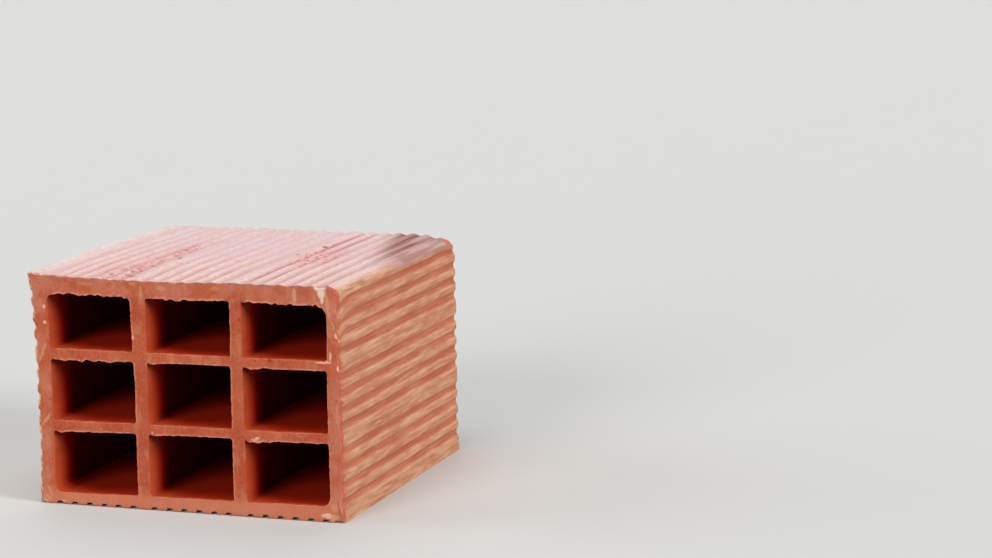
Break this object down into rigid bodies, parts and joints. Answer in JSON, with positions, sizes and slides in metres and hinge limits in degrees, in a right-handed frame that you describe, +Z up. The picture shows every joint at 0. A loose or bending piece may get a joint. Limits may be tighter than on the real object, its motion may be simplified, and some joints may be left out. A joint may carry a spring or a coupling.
{
  "type": "hollow clay brick",
  "caption": "Extruded hollow clay brick with a grid of rectangular through cells, thin webs and keying grooves on its four long faces.",
  "frame": {"origin": "centre of the brick's plan, on the surface that it lies on", "axes": "+Z up across the short side of the section; +Y along the cells, from the front cut end to the back one; +X to the right across the section"},
  "size_m": [0.19, 0.19, 0.135],
  "materials": {
    "fired_clay": "matt fired terracotta, unglazed"
  },
  "bodies": {
    "root": {"brick_body": "fired_clay"}
  },
  "joints": []
}
